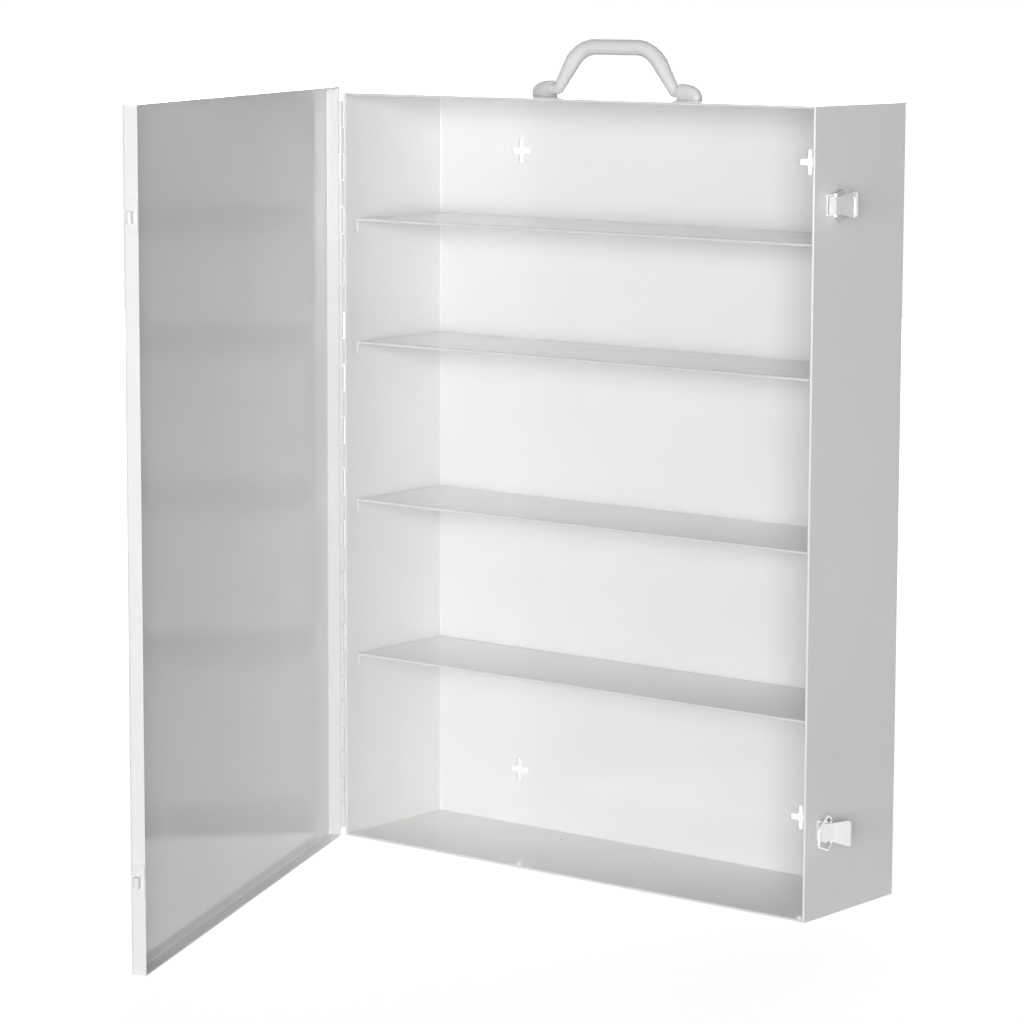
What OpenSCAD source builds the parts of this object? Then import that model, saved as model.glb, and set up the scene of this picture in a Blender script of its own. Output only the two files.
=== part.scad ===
// First aid cabinet of powder-coated sheet steel: a folded case with four fixed shelves,
// a shallow pan door on a continuous hinge, a swing handle on top and two draw latches.
// Millimetres. The origin is the middle of the footprint, +Z is up and the front faces -Y.

/* [Case] */
// Outside width of the case
case_w = 430; // [320:1:520]
// Outside height of the case
case_h = 572; // [540:1:700]
// Outside depth of the case, without the door
case_d = 114; // [90:1:160]
// Thickness of the sheet steel
sheet = 1; // [0.7:0.1:1.5]
// Inside radius of every fold
fold_r = 1; // [0.5:0.1:1.5]
// Depth of the closed hem round the front edge
hem_d = 10; // [6:0.5:12]
// Gap left between the hems at each front corner
hem_gap = 0.5; // [0.2:0.1:1.5]

/* [Keyholes] */
// Distance between the keyholes, side to side
key_span_x = 266.7; // [200:0.1:290]
// Distance between the keyholes, top to bottom
key_span_z = 482.6; // [380:0.1:510]
// Length of each arm pair of the cross
key_len = 18.7; // [14:0.1:24]
// Width of the arms
key_slot = 4.2; // [3.5:0.1:6]
// Diameter of the middle, which lets a screw head through
key_head = 8; // [7:0.1:11]

/* [Drain holes] */
// Diameter of the two drain holes in the floor
drain_d = 3.2; // [2:0.1:3.8]
// Distance of the left drain hole from the middle
drain_left = 74; // [40:1:120]
// Distance of the right drain hole from the middle
drain_right = 28; // [10:1:120]
// Distance of the left drain hole from the back of the case
drain_left_back = 23; // [12:1:60]
// Distance of the right drain hole from the back of the case
drain_right_back = 38; // [12:1:60]

/* [Shelves] */
// Height of the top face of the lowest shelf
shelf_z_first = 142; // [100:0.5:150]
// Height of the top face of the second shelf
shelf_z_second = 262; // [220:0.5:275]
// Height of the top face of the third shelf
shelf_z_third = 383.5; // [340:0.5:395]
// Distance from the top of the case down to the highest shelf
shelf_drop = 95; // [77:0.5:122]
// Distance from the case's front hem back to the shelves
shelf_setback = 1.5; // [1:0.5:20]
// Depth of the flanges that are welded to the walls
shelf_flange = 10; // [7:0.5:15]
// Depth of the closed hem along the front of a shelf
shelf_hem = 9; // [6:0.5:14]
// Play between a shelf and the back of the case
shelf_play = 0.3; // [0.1:0.1:1]
// Room at a shelf's notched corners beside the folds of the case
shelf_notch = 1; // [0.5:0.1:3]

/* [Door] */
// How far the top of the door stands above the case
door_rise = 4.5; // [0:0.5:6]
// Depth of the door pan
door_d = 10.5; // [10:0.5:18]
// Gap between the rim of the closed door and the case
door_gap = 0.6; // [0.5:0.1:2]
// Angle at which the door stands open
door_open = 66; // [0:1:180]

/* [Hinge] */
// Length of one knuckle
knuckle_len = 20; // [12:1:40]
// Outside radius of the knuckles
knuckle_r = 2.2; // [2:0.1:3]
// Radius of the hinge pin
hinge_pin_r = 1.2; // [1:0.1:1.5]
// Thickness of the leaves
leaf_t = 0.8; // [0.6:0.1:1]
// Width of the leaf on the case
leaf_w = 14; // [10:0.5:20]
// Distance from the pin's axis to the wall that the leaf lies on
hinge_offset = 2.6; // [2.6:0.1:3.5]
// Gap between neighbouring knuckles
knuckle_gap = 0.4; // [0.2:0.1:1]
// Distance from the hinge's ends to the case's top and bottom
hinge_margin = 6; // [3:1:20]

/* [Handle] */
// Distance between the inner faces of the sockets
socket_span = 118; // [106:1:130]
// Length of a socket along the handle
socket_len = 18.2; // [17:0.1:22]
// Height of a socket
socket_h = 11.3; // [11:0.1:13]
// Radius of the grip
grip_r = 5.9; // [5:0.1:6]
// Radius of the grip's feet, which its legs taper down to
foot_r = 4; // [3.6:0.1:5]
// Height of the pivot above the case
pivot_h = 5; // [4.9:0.1:6]
// Height of the middle of the grip above the case
grip_h = 36.5; // [34:0.5:50]
// Angle of the grip's legs above level
leg_angle = 56; // [50:1:65]
// Bend radius at the grip's shoulders
shoulder_r = 26; // [14:1:28]
// Gap between the grip and each socket
grip_gap = 1.4; // [0.8:0.1:2]
// Radius of the stubs that turn in the sockets
stub_r = 3; // [2.5:0.1:3.5]
// Depth that the stubs reach into the sockets
stub_len = 7; // [5:0.5:8]
// Radius of the rivets that hold the sockets
socket_rivet_r = 1.8; // [1.5:0.1:1.9]
// How far those rivets reach up into the sockets
socket_rivet_len = 4; // [3:0.5:5]

/* [Latches] */
// Height of the lower latch
latch_z_low = 64; // [45:1:80]
// Distance from the top of the case down to the upper latch
latch_top = 68; // [45:1:80]
// Distance from the case's front edge back to the lever's pin
latch_pin_back = 17.5; // [16:0.5:20]
// Height of the lever's pin above the wall
latch_pin_out = 5.5; // [5.4:0.1:6.5]
// Thickness of the stamped latch parts
latch_t = 0.9; // [0.7:0.1:1]
// Distance from the lever's pin back to the first rivet
latch_rivet_first = 7; // [6.5:0.1:8]
// Distance between the two rivets of a latch
latch_rivet_pitch = 6.3; // [6.2:0.1:7.5]
// Length of the base plate beyond its second rivet
latch_plate_end = 2.5; // [2:0.1:4]
// Width of the metal left round the pin in the ears
ear_rim = 1.2; // [1:0.1:1.4]
// Radius of the lever's pin
latch_pin_r = 1; // [0.8:0.1:1.2]
// Width of the lever at its pin
lever_w = 12.4; // [12:0.1:14]
// Width of the lever at its finger end
lever_end_w = 18.4; // [15:0.1:19]
// Length of the lever from its pin to its end
lever_len = 18.5; // [17:0.1:20]
// How far the lever's sides and front reach down past its pin
lever_skirt = 2.6; // [2:0.1:3]
// How far the finger half of the lever is bent out
lever_kick = 1.6; // [0.5:0.1:2.5]
// Thickness of the bail wire
wire_d = 1.6; // [1.4:0.1:1.8]
// Distance from the lever's pin back to the bail's holes
bail_back = 3.6; // [3.4:0.1:4.5]
// How much nearer the wall the bail's holes lie than the lever's pin
bail_drop = 2.2; // [1.8:0.1:2.5]
// Width of the bail at its widest
bail_w = 26; // [24:0.5:28]
// Width of the bail at the end that the hook takes, between the middles of the wire
bail_end_w = 12.6; // [11.5:0.1:14]
// Swing of the upper lever off the wall
lever_angle_high = 2; // [0:1:20]
// Swing of the lower lever off the wall
lever_angle_low = 60; // [0:1:70]
// Swing of the upper bail away from its lever
bail_angle_high = 115; // [60:1:120]
// Swing of the lower bail away from its lever
bail_angle_low = 104; // [60:1:110]

/* [Strikes] */
// Height of the strike plates
strike_h = 24; // [20:0.5:30]
// Thickness of the strike plates
strike_t = 1; // [0.8:0.1:1.2]
// How far the strike plates stay short of the fold of the door
strike_short = 1.3; // [0.5:0.1:2]
// How far the strike plates stay short of the rim of the door
strike_rim = 0.3; // [0.1:0.1:1]
// Width of the strip in front of the window
window_strip = 1.2; // [0.8:0.1:1.6]
// Height of the hook
hook_h = 7.6; // [6:0.1:8]
// Height of the window from which the hook is folded out
window_h = 10.4; // [9:0.1:12]
// Distance from the case's front edge forward to the hooked wire
hook_reach = 5.5; // [5:0.1:6]
// Play round the hooked wire
hook_play = 0.3; // [0.2:0.1:0.5]

/* [Fits] */
// Radial play of every part that turns on a pin or stub
turn_play = 0.05; // [0.02:0.01:0.1]
// Side play between stamped parts that turn on each other
side_play = 0.25; // [0.1:0.05:0.5]
// Play between a lever and the base that it turns over
lever_play = 0.3; // [0.2:0.1:0.5]
// Play between a lever's closed front and the ears of the base
nose_play = 0.2; // [0.1:0.1:0.4]
// Radial play round the rivets
rivet_play = 0.05; // [0.02:0.01:0.1]
// Radius of the rivets in the latches and strikes
rivet_r = 1.5; // [1.2:0.1:1.6]

/* [Hidden] */
$fn = 48;
coat = [0.93, 0.93, 0.94];
grip_white = [0.95, 0.95, 0.95];
zinc = [0.8, 0.81, 0.83];
past = 1;
front_y = -case_d / 2;
back_y = case_d / 2;
side_x = case_w / 2;
shelf_z_fourth = case_h - shelf_drop;
door_h = case_h + door_rise;
hinge_x = -side_x - hinge_offset;
hinge_y = front_y - door_gap / 2;
hinge_len = case_h - 2 * hinge_margin;
knuckle_count = 2 * floor(hinge_len / knuckle_len / 2);
knuckle_pitch = hinge_len / knuckle_count;
grip_foot_x = socket_span / 2 - grip_gap - foot_r;
leg_rise = grip_h - pivot_h;
corner_x = grip_foot_x - leg_rise / tan(leg_angle);
tangent = shoulder_r * tan(leg_angle / 2);
grip_flat = 2 * (corner_x - tangent);
socket_half_w = grip_r + 0.1;
socket_rivet_x = socket_span / 2 + 0.7 * socket_len;
hook_x = latch_pin_out - bail_drop;
bail_len = bail_back + latch_pin_back + hook_reach;
ear_r = latch_pin_r + ear_rim;
ear_z = lever_w / 2 + side_play;
lever_top = latch_pin_out + ear_r + lever_play + latch_t;
lever_front = -ear_r - nose_play - latch_t;
latch_z_high = case_h - latch_top;
swell = 0.02;
buried = 0.2;
latch_rivet_back = [latch_rivet_first, latch_rivet_first + latch_rivet_pitch];
latch_plate_len = latch_rivet_first + latch_rivet_pitch + latch_plate_end;
strike_rivet_z = 0.36 * strike_h;

// A folded pan: its floor lies at z = 0, its walls reach up to z = d, and it is open above.
module folded_pan(w, h, d) {
    difference() {
        pan_block(w, h, d, fold_r + sheet);
        translate([0, 0, sheet])
            pan_block(w - 2 * sheet, h - 2 * sheet, d, fold_r);
    }
}

module pan_block(w, h, d, r) {
    intersection() {
        rotate([90, 0, 0])
            linear_extrude(h, center = true)
                pan_outline(w, d, r);
        rotate([90, 0, 90])
            linear_extrude(w, center = true)
                pan_outline(h, d, r);
    }
}

// Outline of a pan seen from one side, with its two lower corners round.
module pan_outline(w, d, r) {
    translate([-w / 2, r])
        square([w, d - r]);
    translate([-w / 2 + r, 0])
        square([w - 2 * r, d]);
    for (side = [-1, 1])
        translate([side * (w / 2 - r), r])
            circle(r);
}

// A closed hem along X: the wall's outside is at z = 0 and its front edge at y = 0.
module hem(length, depth) {
    rotate([90, 0, 90])
        linear_extrude(length, center = true) {
            translate([sheet, -2 * sheet])
                square([depth - sheet, 2 * sheet]);
            translate([sheet, -sheet])
                circle(sheet);
        }
}

// A stadium-shaped hole along X, cut through in Z.
module slot(length, width) {
    linear_extrude(4 * sheet, center = true) {
        square([length - width, width], center = true);
        for (side = [-1, 1])
            translate([side * (length - width) / 2, 0])
                circle(width / 2);
    }
}

module keyhole() {
    slot(key_len, key_slot);
    rotate(90)
        slot(key_len, key_slot);
    cylinder(h = 4 * sheet, r = key_head / 2, center = true);
}

module case_shell() {
    color(coat)
        difference() {
            union() {
                intersection() {
                    translate([0, back_y, case_h / 2])
                        rotate([90, 0, 0])
                            folded_pan(case_w, case_h, case_d);
                    translate([-side_x - past, front_y + sheet, -past])
                        cube([case_w + 2 * past, case_d, case_h + 2 * past]);
                }
                for (side = [-1, 1])
                    translate([side * side_x, front_y, case_h / 2])
                        rotate([0, side * 90, 0])
                            hem(case_h, hem_d);
                inner_w = case_w - 4 * sheet - 2 * hem_gap;
                translate([0, front_y, case_h])
                    hem(inner_w, hem_d);
                translate([0, front_y, 0])
                    rotate([0, 180, 0])
                        hem(inner_w, hem_d);
            }
            for (side = [-1, 1], level = [-1, 1])
                translate([side * key_span_x / 2, back_y, case_h / 2 + level * key_span_z / 2])
                    rotate([90, 0, 0])
                        keyhole();
            translate([-drain_left, back_y - drain_left_back, 0])
                cylinder(h = 4 * sheet, r = drain_d / 2, center = true);
            translate([drain_right, back_y - drain_right_back, 0])
                cylinder(h = 4 * sheet, r = drain_d / 2, center = true);
            for (side = [-1, 1])
                translate([side * socket_rivet_x, 0, case_h])
                    cylinder(h = 4 * sheet, r = socket_rivet_r + rivet_play, center = true);
            for (z = [latch_z_low, latch_z_high])
                at_latch(z)
                    latch_rivet_holes();
        }
}

// A shelf is a pan turned upside down, with its front wall replaced by a closed hem.
module shelf(top_z) {
    shelf_w = case_w - 2 * sheet;
    shelf_front = front_y + hem_d + shelf_setback;
    shelf_back = back_y - sheet - shelf_play;
    shelf_d = shelf_back - shelf_front;
    notch = fold_r + sheet + shelf_notch;
    color(coat)
        difference() {
            union() {
                intersection() {
                    translate([0, (shelf_front + shelf_back) / 2, top_z])
                        rotate([180, 0, 0])
                            folded_pan(shelf_w, shelf_d, shelf_flange);
                    translate([-side_x, shelf_front + fold_r + 2 * sheet, top_z - case_h])
                        cube([case_w, case_d, case_h + past]);
                }
                translate([0, shelf_front, top_z])
                    hem(shelf_w - 2 * (fold_r + sheet), shelf_hem);
            }
            for (side = [-1, 1])
                translate([side * shelf_w / 2, shelf_back, top_z])
                    cube([2 * notch, 2 * notch, 2 * shelf_flange + past], center = true);
        }
}

module shelf_lowest() {
    shelf(shelf_z_first);
}

module shelf_second() {
    shelf(shelf_z_second);
}

module shelf_third() {
    shelf(shelf_z_third);
}

module shelf_highest() {
    shelf(shelf_z_fourth);
}

// Swings what is modelled on the closed door out to its open angle.
module swing_door() {
    translate([hinge_x, hinge_y, 0])
        rotate([0, 0, -door_open])
            translate([-hinge_x, -hinge_y, 0])
                children();
}

module door_pan() {
    color(coat)
        swing_door()
            difference() {
                translate([0, front_y - door_gap - door_d, door_h / 2])
                    rotate([-90, 0, 0])
                        folded_pan(case_w, door_h, door_d);
                for (z = [latch_z_low, latch_z_high])
                    at_strike(z)
                        strike_rivet_holes();
            }
}

// The knuckles of one leaf: every second one, from the first or the second on.
module knuckles(first, r, gap) {
    for (i = [first : 2 : knuckle_count - 1])
        translate([0, 0, hinge_margin + i * knuckle_pitch + gap / 2])
            cylinder(h = knuckle_pitch - gap, r = r);
}

// One leaf of the hinge about the pin's axis, lying on a wall at x = hinge_offset.
module hinge_leaf(first, width) {
    difference() {
        union() {
            difference() {
                translate([hinge_offset - leaf_t, 0, hinge_margin])
                    cube([leaf_t, width, hinge_len]);
                knuckles(1 - first, knuckle_r + knuckle_gap, -knuckle_gap);
                for (i = [1 - first : 2 : knuckle_count - 1])
                    translate([0, -past, hinge_margin + i * knuckle_pitch - knuckle_gap / 2])
                        cube([2 * hinge_offset, past + knuckle_r + knuckle_gap, knuckle_pitch + knuckle_gap]);
            }
            knuckles(first, knuckle_r, knuckle_gap);
            for (i = [first : 2 : knuckle_count - 1])
                translate([0, 0, hinge_margin + i * knuckle_pitch + knuckle_gap / 2])
                    cube([hinge_offset, knuckle_r, knuckle_pitch - knuckle_gap]);
        }
        translate([0, 0, -past])
            cylinder(h = case_h + 2 * past, r = hinge_pin_r + turn_play);
    }
}

module hinge_case_leaf() {
    color(coat)
        translate([hinge_x, hinge_y, 0])
            hinge_leaf(0, leaf_w);
}

module hinge_door_leaf() {
    color(coat)
        swing_door()
            translate([hinge_x, hinge_y, 0])
                mirror([0, 1, 0])
                    hinge_leaf(1, door_gap / 2 + door_d - 2 * fold_r);
}

module hinge_pin() {
    color(zinc)
        translate([hinge_x, hinge_y, hinge_margin])
            cylinder(h = hinge_len, r = hinge_pin_r);
}

// Seen from its end, a socket is an arch, and from the front it falls off in one round curve.
module socket() {
    difference() {
        intersection() {
            rotate([90, 0, 90])
                linear_extrude(socket_len) {
                    translate([-socket_half_w, 0])
                        square([2 * socket_half_w, socket_h - socket_half_w]);
                    translate([0, socket_h - socket_half_w])
                        circle(socket_half_w);
                }
            rotate([90, 0, 0])
                linear_extrude(2 * socket_half_w + past, center = true) {
                    square([socket_len - socket_h, socket_h]);
                    intersection() {
                        translate([socket_len - socket_h, 0])
                            circle(socket_h);
                        square([socket_len, socket_h]);
                    }
                }
            linear_extrude(socket_h) {
                translate([0, -socket_half_w])
                    square([socket_len - socket_half_w, 2 * socket_half_w]);
                translate([socket_len - socket_half_w, 0])
                    circle(socket_half_w);
            }
        }
        translate([-past, 0, pivot_h])
            rotate([0, 90, 0])
                cylinder(h = past + stub_len + side_play, r = stub_r + turn_play);
        translate([socket_rivet_x - socket_span / 2, 0, -past])
            cylinder(h = past + socket_rivet_len + rivet_play, r = socket_rivet_r + rivet_play);
    }
}

module handle_socket_left() {
    color(grip_white)
        mirror([1, 0, 0])
            translate([socket_span / 2, 0, case_h])
                socket();
}

module handle_socket_right() {
    color(grip_white)
        translate([socket_span / 2, 0, case_h])
            socket();
}

// A rivet whose shank points up from its domed head, which is a slice of a larger ball.
module rivet(r, shank) {
    head_h = 0.8 * r;
    ball_r = 2.5 * r;
    cylinder(h = shank, r = r);
    rotate_extrude()
        intersection() {
            translate([0, -head_h])
                square([2 * r, head_h]);
            translate([0, ball_r - head_h])
                circle(ball_r);
        }
}

module handle_rivets() {
    color(zinc)
        for (side = [-1, 1])
            translate([side * socket_rivet_x, 0, case_h - sheet])
                rivet(socket_rivet_r, sheet + socket_rivet_len);
}

// One side of the grip: foot, stub, sloping leg and round shoulder.
module grip_half() {
    leg_len = leg_rise / sin(leg_angle) - tangent;
    foot_len = socket_span / 2 - grip_gap - grip_foot_x;
    translate([grip_foot_x, 0, pivot_h]) {
        sphere(foot_r + swell);
        rotate([0, 90, 0])
            cylinder(h = foot_len, r = foot_r);
        rotate([0, 90, 0])
            cylinder(h = foot_len + grip_gap + stub_len, r = stub_r);
        rotate([0, leg_angle - 90, 0])
            cylinder(h = leg_len + buried, r1 = foot_r, r2 = grip_r);
    }
    translate([corner_x - tangent, 0, grip_h - shoulder_r])
        rotate([90, 0, 0])
            rotate(90 - leg_angle)
                rotate_extrude(angle = leg_angle)
                    translate([shoulder_r, 0])
                        circle(grip_r + swell);
}

module handle_grip() {
    color(grip_white)
        translate([0, 0, case_h]) {
            grip_half();
            mirror([1, 0, 0])
                grip_half();
            translate([0, 0, grip_h])
                rotate([0, 90, 0])
                    cylinder(h = grip_flat + 2 * buried, r = grip_r, center = true);
        }
}

// Latches are modelled with x out from the wall, y back and z up, from below the lever's pin.
module at_latch(z) {
    translate([side_x, front_y + latch_pin_back, z])
        children();
}

module latch_rivet_holes() {
    for (back = latch_rivet_back)
        translate([0, back, 0])
            rotate([0, 90, 0])
                cylinder(h = 6 * sheet, r = rivet_r + rivet_play, center = true);
}

// Base of a latch: a plate with two round-topped ears folded up outside the lever.
module latch_base() {
    color(coat)
        difference() {
            union() {
                translate([0, -ear_r, -ear_z - latch_t])
                    cube([latch_t, 2 * ear_r, 2 * (ear_z + latch_t)]);
                translate([0, -ear_r, latch_t - ear_z])
                    cube([latch_t, ear_r + latch_plate_len, 2 * (ear_z - latch_t)]);
                for (side = [-1, 1])
                    translate([0, 0, side * (ear_z + latch_t / 2)])
                        linear_extrude(latch_t, center = true) {
                            translate([0, -ear_r])
                                square([latch_pin_out, 2 * ear_r]);
                            translate([latch_pin_out, 0])
                                circle(ear_r);
                        }
            }
            translate([latch_pin_out, 0, 0])
                cylinder(h = 2 * lever_w, r = latch_pin_r + rivet_play, center = true);
            latch_rivet_holes();
        }
}

// Pin of a latch, with its ends swelled over the base's ears.
module latch_pin() {
    head_z = ear_z + latch_t;
    head_t = 0.5;
    color(zinc)
        translate([latch_pin_out, 0, 0]) {
            cylinder(h = 2 * head_z, r = latch_pin_r, center = true);
            for (side = [-1, 1])
                translate([0, 0, side * (head_z + head_t / 2)])
                    cylinder(h = head_t, r = 1.4 * latch_pin_r, center = true);
        }
}

// Turns what is modelled on the closed lever about the lever's pin.
module swing_lever(angle) {
    translate([latch_pin_out, 0, 0])
        rotate([0, 0, -angle])
            translate([-latch_pin_out, 0, 0])
                children();
}

// Stamped lever: a channel round its pin, closed in front, that opens out into a flat finger
// end, which is bent out a little and ends in a lip.
module latch_lever(angle) {
    front_low = latch_pin_out - lever_skirt;
    side_low = latch_t + lever_play;
    side_back = bail_back + 2;
    color(coat)
        swing_lever(angle)
            difference() {
                union() {
                    intersection() {
                        linear_extrude(lever_end_w, center = true)
                            lever_profile();
                        rotate([0, 90, 0])
                            linear_extrude(2 * lever_top)
                                lever_plan();
                    }
                    for (side = [-1, 1])
                        translate([0, 0, side * (lever_w - latch_t) / 2])
                            linear_extrude(latch_t, center = true)
                                polygon([
                                    [lever_top - latch_t / 2, lever_front],
                                    [front_low, lever_front],
                                    [side_low, bail_back - 2.4],
                                    [side_low, side_back],
                                    [lever_top - latch_t / 2, side_back + 3]
                                ]);
                    translate([front_low, lever_front, -lever_w / 2])
                        cube([lever_top - front_low, latch_t, lever_w]);
                }
                translate([latch_pin_out, 0, 0])
                    cylinder(h = 2 * lever_w, r = latch_pin_r + turn_play, center = true);
                translate([hook_x, bail_back, 0])
                    cylinder(h = 2 * lever_w, r = wire_d / 2 + turn_play, center = true);
            }
}

// Side view of the lever's face, with its bend and its lip.
module lever_profile() {
    bend_back = lever_len / 2;
    lip_back = lever_len - latch_t;
    face = [
        [lever_top, lever_front],
        [lever_top, bend_back],
        [lever_top + lever_kick, lip_back],
        [lever_top + lever_kick + latch_t, lever_len]
    ];
    under = [for (i = [len(face) - 1 : -1 : 0]) face[i] - [latch_t, 0]];
    polygon(concat(face, under));
}

// Plan of the lever's face, with x across the lever and y towards its finger end.
module lever_plan() {
    end_r = 2;
    flare_back = ear_r;
    polygon([
        [-lever_w / 2, lever_front],
        [lever_w / 2, lever_front],
        [lever_w / 2, flare_back],
        [lever_end_w / 2, lever_len - end_r],
        [lever_end_w / 2 - end_r, lever_len],
        [end_r - lever_end_w / 2, lever_len],
        [-lever_end_w / 2, lever_len - end_r],
        [-lever_w / 2, flare_back]
    ]);
    for (side = [-1, 1])
        translate([side * (lever_end_w / 2 - end_r), lever_len - end_r])
            circle(end_r);
}

function turn_at(pts, i) =
    let (n = len(pts),
        into = pts[i] - pts[(i + n - 1) % n],
        out = pts[(i + 1) % n] - pts[i])
    acos(into * out / norm(into) / norm(out));

// A closed loop of round wire through the points of a convex outline, anticlockwise.
// The bends are a hair thicker than the straights, whose ends are buried in them.
module wire_loop(pts, wire_r, bend_r) {
    n = len(pts);
    for (i = [0 : n - 1]) {
        here = pts[i];
        next = pts[(i + 1) % n];
        last = pts[(i + n - 1) % n];
        run = (next - here) / norm(next - here);
        arrival = (here - last) / norm(here - last);
        trim_here = bend_r * tan(turn_at(pts, i) / 2);
        trim_next = bend_r * tan(turn_at(pts, (i + 1) % n) / 2);
        start = here + run * (trim_here - buried);
        middle = here - arrival * trim_here + bend_r * [-arrival[1], arrival[0]];
        translate([start[0], start[1], 0])
            rotate([0, 0, atan2(run[1], run[0])])
                rotate([0, 90, 0])
                    cylinder(h = norm(next - here) - trim_here - trim_next + 2 * buried, r = wire_r);
        translate([middle[0], middle[1], 0])
            rotate([0, 0, atan2(arrival[1], arrival[0]) - 90])
                rotate_extrude(angle = turn_at(pts, i))
                    translate([bend_r, 0])
                        circle(wire_r + swell);
    }
}

// Wire bail: a six-sided loop through the lever's sides, widest near the lever.
module latch_bail(lever_angle, bail_angle) {
    inner_z = ear_z + latch_t + 1.8;
    end_z = bail_end_w / 2;
    wide_at = 0.3 * bail_len;
    half = bail_w / 2 - wire_d / 2;
    loop = [
        [0, inner_z], [0, -inner_z], [wide_at, -half],
        [bail_len, -end_z], [bail_len, end_z], [wide_at, half]
    ];
    color(zinc)
        swing_lever(lever_angle)
            translate([hook_x, bail_back, 0])
                rotate([0, 0, 90 - bail_angle])
                    rotate([90, 0, 0])
                        wire_loop(loop, wire_d / 2, 1.5 * wire_d);
}

module latch_base_upper() {
    at_latch(latch_z_high)
        latch_base();
}

module latch_pin_upper() {
    at_latch(latch_z_high)
        latch_pin();
}

module latch_lever_upper() {
    at_latch(latch_z_high)
        latch_lever(lever_angle_high);
}

module latch_bail_upper() {
    at_latch(latch_z_high)
        latch_bail(lever_angle_high, bail_angle_high);
}

module latch_base_lower() {
    at_latch(latch_z_low)
        latch_base();
}

module latch_pin_lower() {
    at_latch(latch_z_low)
        latch_pin();
}

module latch_lever_lower() {
    at_latch(latch_z_low)
        latch_lever(lever_angle_low);
}

module latch_bail_lower() {
    at_latch(latch_z_low)
        latch_bail(lever_angle_low, bail_angle_low);
}

module latch_rivets() {
    head_t = 0.6;
    head_r = 1.5 * rivet_r;
    color(zinc)
        for (z = [latch_z_low, latch_z_high])
            at_latch(z)
                for (back = latch_rivet_back)
                    translate([-sheet, back, 0])
                        rotate([0, 90, 0]) {
                            rivet(rivet_r, sheet + latch_t);
                            translate([0, 0, sheet + latch_t])
                                cylinder(h = head_t, r = head_r);
                        }
}

// Strikes are modelled on the closed door, with x out from its side and y back from the wire.
module at_strike(z) {
    translate([side_x, front_y - hook_reach, z])
        children();
}

module strike_rivet_holes() {
    for (side = [-1, 1])
        translate([0, 0, side * strike_rivet_z])
            rotate([0, 90, 0])
                cylinder(h = 6 * sheet, r = rivet_r + rivet_play, center = true);
}

// Strike: a plate with a window, from whose rear edge a hook is folded out and forward.
module strike(z) {
    rear = hook_reach - door_gap - strike_rim;
    ahead = door_d - rear - 2 * fold_r - strike_short;
    cut = 1.5;
    half_h = strike_h / 2;
    seat_r = wire_d / 2 + hook_play;
    skin_r = seat_r + strike_t;
    window_front = ahead - window_strip;
    color(coat)
        swing_door()
            at_strike(z)
                difference() {
                    union() {
                        difference() {
                            rotate([0, 90, 0])
                                linear_extrude(strike_t)
                                    polygon([
                                        [-half_h, -ahead],
                                        [half_h, -ahead],
                                        [half_h, rear - cut],
                                        [half_h - cut, rear],
                                        [cut - half_h, rear],
                                        [-half_h, rear - cut]
                                    ]);
                            translate([-past, -window_front, -window_h / 2])
                                cube([strike_t + 2 * past, window_front + seat_r, window_h]);
                        }
                        linear_extrude(hook_h, center = true)
                            difference() {
                                union() {
                                    translate([hook_x, 0])
                                        circle(skin_r);
                                    translate([0, seat_r])
                                        square([hook_x, strike_t]);
                                }
                                translate([hook_x, 0])
                                    circle(seat_r);
                                translate([-past, -2 * skin_r])
                                    square([past + hook_x, 2 * skin_r + seat_r]);
                            }
                    }
                    translate([hook_x + skin_r, -skin_r, 0])
                        cube([2 * strike_t + seat_r, 2 * seat_r, hook_h / 4], center = true);
                    strike_rivet_holes();
                }
}

module strike_upper() {
    strike(latch_z_high);
}

module strike_lower() {
    strike(latch_z_low);
}

module strike_rivets() {
    color(zinc)
        swing_door()
            for (z = [latch_z_low, latch_z_high])
                at_strike(z)
                    for (side = [-1, 1])
                        translate([-sheet, 0, side * strike_rivet_z])
                            rotate([0, 90, 0])
                                rivet(rivet_r, sheet + strike_t);
}

case_shell();
shelf_lowest();
shelf_second();
shelf_third();
shelf_highest();
hinge_case_leaf();
hinge_pin();
hinge_door_leaf();
door_pan();
strike_upper();
strike_lower();
strike_rivets();
handle_socket_left();
handle_socket_right();
handle_rivets();
handle_grip();
latch_base_upper();
latch_pin_upper();
latch_lever_upper();
latch_bail_upper();
latch_base_lower();
latch_pin_lower();
latch_lever_lower();
latch_bail_lower();
latch_rivets();
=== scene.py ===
import math

import bpy
from mathutils import Euler, Matrix, Vector


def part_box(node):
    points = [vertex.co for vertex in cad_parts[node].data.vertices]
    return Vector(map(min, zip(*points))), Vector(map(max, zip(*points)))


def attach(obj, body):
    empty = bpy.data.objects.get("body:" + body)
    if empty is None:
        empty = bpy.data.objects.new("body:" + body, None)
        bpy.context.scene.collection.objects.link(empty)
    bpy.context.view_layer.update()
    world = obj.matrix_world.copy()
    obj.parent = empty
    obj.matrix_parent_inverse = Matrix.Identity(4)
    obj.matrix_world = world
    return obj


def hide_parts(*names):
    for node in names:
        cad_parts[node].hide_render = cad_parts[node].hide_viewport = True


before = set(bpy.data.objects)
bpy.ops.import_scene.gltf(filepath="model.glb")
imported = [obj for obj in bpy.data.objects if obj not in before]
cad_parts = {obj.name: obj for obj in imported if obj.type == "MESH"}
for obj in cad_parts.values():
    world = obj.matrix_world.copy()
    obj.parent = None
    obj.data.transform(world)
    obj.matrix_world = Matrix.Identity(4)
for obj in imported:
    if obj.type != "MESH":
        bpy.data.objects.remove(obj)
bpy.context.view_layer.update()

# Camera: a long lens from the front right and a little above, as a studio takes a cabinet so
# that its open door, its shelves and its latches all show.
picture_width_px, focal_length_px = 1024, 3753.7
sensor_width_mm = 36.0
camera_place = (1.6716, -2.1899, 0.6588)
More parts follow.
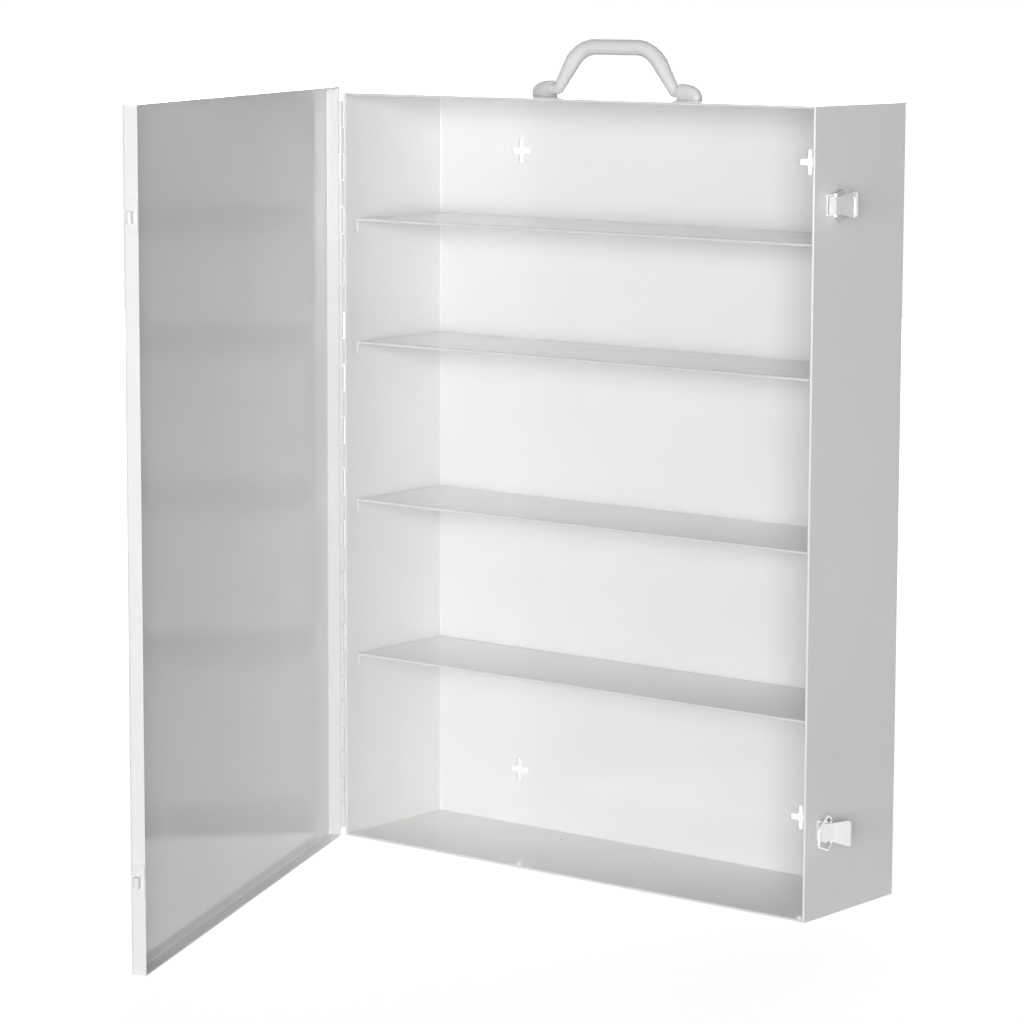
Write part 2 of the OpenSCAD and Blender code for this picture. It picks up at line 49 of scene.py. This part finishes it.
dip_angle, heading_angle, roll_angle = 0.1416, 0.6791, 0.0033

camera_data = bpy.data.cameras.new("camera")
camera_data.sensor_width = sensor_width_mm
camera_data.lens = focal_length_px / picture_width_px * sensor_width_mm
camera_data.clip_end = 100.0
camera = bpy.data.objects.new("camera", camera_data)
bpy.context.scene.collection.objects.link(camera)
camera_aim = Euler((math.pi / 2 - dip_angle, 0.0, heading_angle)).to_matrix()
camera_turn = camera_aim @ Matrix.Rotation(roll_angle, 3, "Z")
camera.matrix_world = Matrix.Translation(camera_place) @ camera_turn.to_4x4()
bpy.context.scene.camera = camera
bpy.context.scene.view_settings.view_transform = "Standard"

# Floor and light: a plain white studio floor and large soft lamps. The room is white to the
# camera and to what mirrors it, and adds only a faint light of its own.
room_strength, backdrop_strength = 0.05, 1.0
floor_width, floor_z = 400.0, -0.0005
dim_radius, dim_white = 0.2, 0.72
full_radius, full_white = 1.4, 1.0
shade_inset_x, shade_inset_y = 0.010, 0.007
lamp_target = Vector((0, 0, 0.3))


def linear(hex_colour):
    """An sRGB hex colour as the linear RGBA that a shader takes."""
    channels = [int(hex_colour[i:i + 2], 16) / 255 for i in (0, 2, 4)]
    return [c / 12.92 if c <= 0.04045 else ((c + 0.055) / 1.055) ** 2.4 for c in channels] + [1.0]


def add_node(tree, kind, settings=None, values=None, links=None):
    """Adds a node with its settings, its input values and the outputs that feed its inputs."""
    node = tree.nodes.new(kind)
    for name, value in (settings or {}).items():
        setattr(node, name, value)
    for name, value in (values or {}).items():
        node.inputs[name].default_value = value
    for name, source in (links or {}).items():
        tree.links.new(source, node.inputs[name])
    return node


def empty_material(name):
    """A new material with no nodes in it, and its node tree."""
    material = bpy.data.materials.new(name)
    material.use_nodes = True
    material.node_tree.nodes.clear()
    return material, material.node_tree


world = bpy.data.worlds.new("studio")
bpy.context.scene.world = world
world.use_nodes = True
tree = world.node_tree
tree.nodes.clear()
rays = add_node(tree, "ShaderNodeLightPath")
mirrored = add_node(tree, "ShaderNodeMath", {"operation": "MAXIMUM"},
                    links={0: rays.outputs["Is Glossy Ray"], 1: rays.outputs["Is Transmission Ray"]})
seen = add_node(tree, "ShaderNodeMath", {"operation": "MAXIMUM"},
                links={0: rays.outputs["Is Camera Ray"], 1: mirrored.outputs[0]})
room = add_node(tree, "ShaderNodeBackground",
                values={"Color": (1, 1, 1, 1), "Strength": room_strength})
backdrop = add_node(tree, "ShaderNodeBackground",
                    values={"Color": (1, 1, 1, 1), "Strength": backdrop_strength})
choice = add_node(tree, "ShaderNodeMixShader",
                  links={0: seen.outputs[0], 1: room.outputs[0], 2: backdrop.outputs[0]})
add_node(tree, "ShaderNodeOutputWorld", links={"Surface": choice.outputs[0]})

bpy.ops.object.select_all(action="DESELECT")
bpy.ops.mesh.primitive_plane_add(size=floor_width, location=(0, 0, floor_z))
floor = bpy.context.object
floor.name = "floor"
floor_paint, tree = empty_material("floor_white_paint")
floor_rays = add_node(tree, "ShaderNodeLightPath")
floor_matt = add_node(tree, "ShaderNodeBsdfDiffuse", values={"Color": linear("F4F4F4")})
floor_place = add_node(tree, "ShaderNodeTexCoord").outputs["Object"]
# The floor's own white is dimmed near the case and full further out.
case_distance = add_node(tree, "ShaderNodeVectorMath", {"operation": "LENGTH"},
                         links={0: floor_place})
floor_lift = add_node(tree, "ShaderNodeMapRange", {"interpolation_type": "SMOOTHSTEP"},
                      values={"From Min": dim_radius, "From Max": full_radius,
                              "To Min": dim_white, "To Max": full_white},
                      links={"Value": case_distance.outputs["Value"]})
# It is left out under the case, which paints shade there so that the drain holes show dark. The
# floor's matt white under the case keeps only its real lamp light and shade.
case_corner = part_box("case_shell")[1]
floor_offset = add_node(tree, "ShaderNodeVectorMath", {"operation": "ABSOLUTE"},
                        links={0: floor_place})
floor_axes = add_node(tree, "ShaderNodeSeparateXYZ", links={0: floor_offset.outputs["Vector"]})
past_sides = add_node(tree, "ShaderNodeMath", {"operation": "GREATER_THAN"},
                      values={1: case_corner.x - shade_inset_x}, links={0: floor_axes.outputs["X"]})
past_depth = add_node(tree, "ShaderNodeMath", {"operation": "GREATER_THAN"},
                      values={1: case_corner.y - shade_inset_y}, links={0: floor_axes.outputs["Y"]})
outside_painted_shade = add_node(tree, "ShaderNodeMath", {"operation": "MAXIMUM"},
                      links={0: past_sides.outputs[0], 1: past_depth.outputs[0]})
floor_white = add_node(tree, "ShaderNodeMath", {"operation": "MULTIPLY"},
                       links={0: outside_painted_shade.outputs[0], 1: floor_lift.outputs["Result"]})
floor_seen = add_node(tree, "ShaderNodeMath", {"operation": "MAXIMUM"},
                      links={0: floor_rays.outputs["Is Camera Ray"],
                             1: floor_rays.outputs["Is Glossy Ray"]})
floor_strength = add_node(tree, "ShaderNodeMath", {"operation": "MULTIPLY"},
                          links={0: floor_seen.outputs[0], 1: floor_white.outputs[0]})
floor_glow = add_node(tree, "ShaderNodeEmission", values={"Color": (1, 1, 1, 1)},
                      links={"Strength": floor_strength.outputs[0]})
floor_sum = add_node(tree, "ShaderNodeAddShader",
                     links={0: floor_matt.outputs[0], 1: floor_glow.outputs[0]})
add_node(tree, "ShaderNodeOutputMaterial", links={"Surface": floor_sum.outputs[0]})
floor.data.materials.append(floor_paint)

for name, place, width, power in (
        ("front", (1.6, -5.0, 0.8), 1.4, 57.0),
        ("beside_camera", (2.9, -3.8, 0.8), 1.5, 118.0),
        ("right_side", (4.6, -1.2, 1.1), 1.4, 5.0),
        ("rear_left", (-2.4, 3.6, 1.3), 3.0, 95.0)):
    lamp_data = bpy.data.lights.new(name, "AREA")
    lamp_data.shape = "SQUARE"
    lamp_data.size = width
    lamp_data.energy = power
    lamp = bpy.data.objects.new(name, lamp_data)
    bpy.context.scene.collection.objects.link(lamp)
    lamp_aim = lamp_target - Vector(place)
    lamp_turn = lamp_aim.to_track_quat("-Z", "Y").to_matrix().to_4x4()
    lamp.matrix_world = Matrix.Translation(place) @ lamp_turn

# Case: a box folded from mild steel sheet, with closed hems round its front, keyholes in its
# back and drain holes in its floor. Its gloss white coat is sprayed on as dry powder and baked
# once the case is folded and welded.
# The stretch of a noise, of its whole 0 to 1, over which a tint or a roughness changes.
noise_range = (0.3, 0.7)
film_patch_mm, film_tints, film_roughness = 90.0, ("F0F0F0", "F3F3F2"), (0.09, 0.13)
ripple_mm, ripple_depth, ripple_strength = 2.2, 0.0002, 0.07

powder, tree = empty_material("white_powder_coat_on_steel")
powder_place = add_node(tree, "ShaderNodeTexCoord").outputs["Object"]
# Thickness of the film varies slowly over 60 to 120 mm, which gives the white a faint cloud.
cloud = add_node(tree, "ShaderNodeTexNoise", values={"Scale": 1000 / film_patch_mm, "Detail": 2.0},
                 links={"Vector": powder_place})
tint = add_node(tree, "ShaderNodeValToRGB", links={"Fac": cloud.outputs["Fac"]})
for stop, position, colour in zip(tint.color_ramp.elements, noise_range, film_tints):
    stop.position = position
    stop.color = linear(colour)
# Orange peel: the melted powder sets in soft ripples about 2 mm across.
peel = add_node(tree, "ShaderNodeTexNoise", values={"Scale": 1000 / ripple_mm, "Detail": 1.0},
                links={"Vector": powder_place})
ripple = add_node(tree, "ShaderNodeBump",
                  values={"Strength": ripple_strength, "Distance": ripple_depth},
                  links={"Height": peel.outputs["Fac"]})
gloss = add_node(tree, "ShaderNodeMapRange",
                 values={"From Min": noise_range[0], "From Max": noise_range[1],
                         "To Min": film_roughness[0], "To Max": film_roughness[1]},
                 links={"Value": cloud.outputs["Fac"]})
coat = add_node(tree, "ShaderNodeBsdfPrincipled", values={"IOR": 1.5},
                links={"Base Color": tint.outputs["Color"], "Roughness": gloss.outputs["Result"],
                       "Normal": ripple.outputs["Normal"]})
add_node(tree, "ShaderNodeOutputMaterial", links={"Surface": coat.outputs["BSDF"]})


def finish_nodes(material, names):
    """Puts one material on each named CAD node."""
    for name in names:
        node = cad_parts[name]
        node.data.materials.clear()
        node.data.materials.append(material)


finish_nodes(powder, ["case_shell"])

# Shelves: four folded pans of the same steel, each with a closed hem along its front edge. Their
# flanges are welded to the case's walls, and they are coated together with it.
finish_nodes(powder, ["shelf_lowest", "shelf_second", "shelf_third", "shelf_highest"])

# Door: a shallow folded pan of the same coated steel. Its inner face is smooth enough to mirror
# the shelves faintly when it stands open.
finish_nodes(powder, ["door_pan"])

# Hinge: two leaves of steel strip whose knuckles take turns along one long pin. They are welded
# to the case and the door and coated with them. The pin is drawn steel with a bright zinc
# plating, whose gloss differs in spots about 3 mm across.
plating_spot_mm, plating_roughness = 3.0, (0.16, 0.28)

zinc, tree = empty_material("bright_zinc_plated_steel")
zinc_place = add_node(tree, "ShaderNodeTexCoord").outputs["Object"]
spots = add_node(tree, "ShaderNodeTexNoise", values={"Scale": 1000 / plating_spot_mm, "Detail": 3.0},
                 links={"Vector": zinc_place})
shine = add_node(tree, "ShaderNodeMapRange",
                 values={"From Min": noise_range[0], "From Max": noise_range[1],
                         "To Min": plating_roughness[0], "To Max": plating_roughness[1]},
                 links={"Value": spots.outputs["Fac"]})
plating = add_node(tree, "ShaderNodeBsdfPrincipled",
                   values={"Base Color": linear("F2F3F4"), "Metallic": 1.0},
                   links={"Roughness": shine.outputs["Result"]})
add_node(tree, "ShaderNodeOutputMaterial", links={"Surface": plating.outputs["BSDF"]})
finish_nodes(powder, ["hinge_case_leaf", "hinge_door_leaf"])
finish_nodes(zinc, ["hinge_pin"])

# Draw latches: a stamped base, riveted to the case's right wall, carries a stamped lever on a
# pin, and the lever pulls a wire bail. Base and lever are coated as the case is. Pins, rivets
# and the drawn wire are plated.
for level in ("upper", "lower"):
    finish_nodes(powder, ["latch_base_" + level, "latch_lever_" + level])
    finish_nodes(zinc, ["latch_pin_" + level, "latch_bail_" + level])
finish_nodes(zinc, ["latch_rivets"])

# Strikes: two stamped plates riveted to the door's free flange, each with a folded hook that
# takes a bail's wire. They and their rivets are coated with the door.
finish_nodes(powder, ["strike_upper", "strike_lower", "strike_rivets"])

# Handle grip: a round bar moulded in white acetal. The stubs on its feet turn in the two
# sockets. The mould leaves a fine satin skin.
skin_mm, skin_depth, skin_strength = 1.2, 0.0001, 0.15
flow_mm, flow_tints = 20.0, ("F0F0F0", "F5F5F4")

acetal, tree = empty_material("white_moulded_acetal")
acetal_place = add_node(tree, "ShaderNodeTexCoord").outputs["Object"]
skin = add_node(tree, "ShaderNodeTexNoise", values={"Scale": 1000 / skin_mm, "Detail": 2.0},
                links={"Vector": acetal_place})
flow = add_node(tree, "ShaderNodeTexNoise", values={"Scale": 1000 / flow_mm, "Detail": 1.0},
                links={"Vector": acetal_place})
milk = add_node(tree, "ShaderNodeValToRGB", links={"Fac": flow.outputs["Fac"]})
for stop, position, colour in zip(milk.color_ramp.elements, noise_range, flow_tints):
    stop.position = position
    stop.color = linear(colour)
satin = add_node(tree, "ShaderNodeBump",
                 values={"Strength": skin_strength, "Distance": skin_depth},
                 links={"Height": skin.outputs["Fac"]})
plastic = add_node(tree, "ShaderNodeBsdfPrincipled", values={"IOR": 1.48, "Roughness": 0.24},
                   links={"Base Color": milk.outputs["Color"], "Normal": satin.outputs["Normal"]})
add_node(tree, "ShaderNodeOutputMaterial", links={"Surface": plastic.outputs["BSDF"]})
finish_nodes(acetal, ["handle_grip"])

# Handle sockets: two domes moulded in the same acetal, riveted to the case's top from inside.
# Each holds a stub of the grip in a round bore and falls off in one soft curve to its outer end.
socket_low, socket_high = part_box("handle_socket_right")
socket_length, socket_width, socket_height = socket_high - socket_low
socket_roundness = 2.35
bore_radius, bore_depth, pivot_height = 0.00305, 0.00725, 0.005
crease_angle = math.radians(40)

bpy.ops.object.select_all(action="DESELECT")
bpy.ops.mesh.primitive_uv_sphere_add(segments=96, ring_count=48, radius=1.0)
socket_right = bpy.context.object
socket_right.name = "socket_dome_right"
# A roundness of 2 would leave the ball as it is. A higher one squares it up a little.
for vertex in socket_right.data.vertices:
    reach = sum(abs(c) ** socket_roundness for c in vertex.co) ** (1 / socket_roundness)
    vertex.co = vertex.co / reach
# The ball is halved at its foot and at its inner end before it gets its real size, because the
# tolerance of these cuts is coarse for a piece so small.
bpy.ops.object.mode_set(mode="EDIT")
for plane_normal in ((0, 0, 1), (1, 0, 0)):
    bpy.ops.mesh.select_all(action="SELECT")
    bpy.ops.mesh.bisect(plane_co=(0, 0, 0), plane_no=plane_normal, use_fill=True, clear_inner=True)
bpy.ops.mesh.select_all(action="SELECT")
bpy.ops.mesh.remove_doubles(threshold=0.0001)
bpy.ops.mesh.normals_make_consistent(inside=False)
bpy.ops.object.mode_set(mode="OBJECT")
socket_right.data.transform(Matrix.Diagonal((socket_length, socket_width / 2, socket_height, 1)))
bpy.ops.object.select_all(action="DESELECT")
bpy.ops.mesh.primitive_cylinder_add(vertices=48, radius=bore_radius, depth=2 * bore_depth,
                                    location=(0, 0, pivot_height), rotation=(0, math.pi / 2, 0))
bore = bpy.context.object
bpy.context.view_layer.objects.active = socket_right
cut = socket_right.modifiers.new("bore", "BOOLEAN")
cut.operation = "DIFFERENCE"
cut.object = bore
bpy.ops.object.modifier_apply(modifier="bore")
bpy.data.objects.remove(bore)
socket_right.data.transform(Matrix.Translation((socket_low.x, 0, socket_low.z)))
socket_left = bpy.data.objects.new("socket_dome_left", socket_right.data.copy())
bpy.context.scene.collection.objects.link(socket_left)
socket_left.data.transform(Matrix.Scale(-1, 4, (1, 0, 0)))
socket_left.data.flip_normals()
for socket, node in ((socket_right, "handle_socket_right"), (socket_left, "handle_socket_left")):
    bpy.ops.object.select_all(action="DESELECT")
    socket.select_set(True)
    bpy.context.view_layer.objects.active = socket
    bpy.ops.object.shade_smooth_by_angle(angle=crease_angle)
    socket.data.materials.clear()
    socket.data.materials.append(acetal)
    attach(socket, "case")
    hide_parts(node)
finish_nodes(acetal, ["handle_socket_left", "handle_socket_right"])
finish_nodes(zinc, ["handle_rivets"])
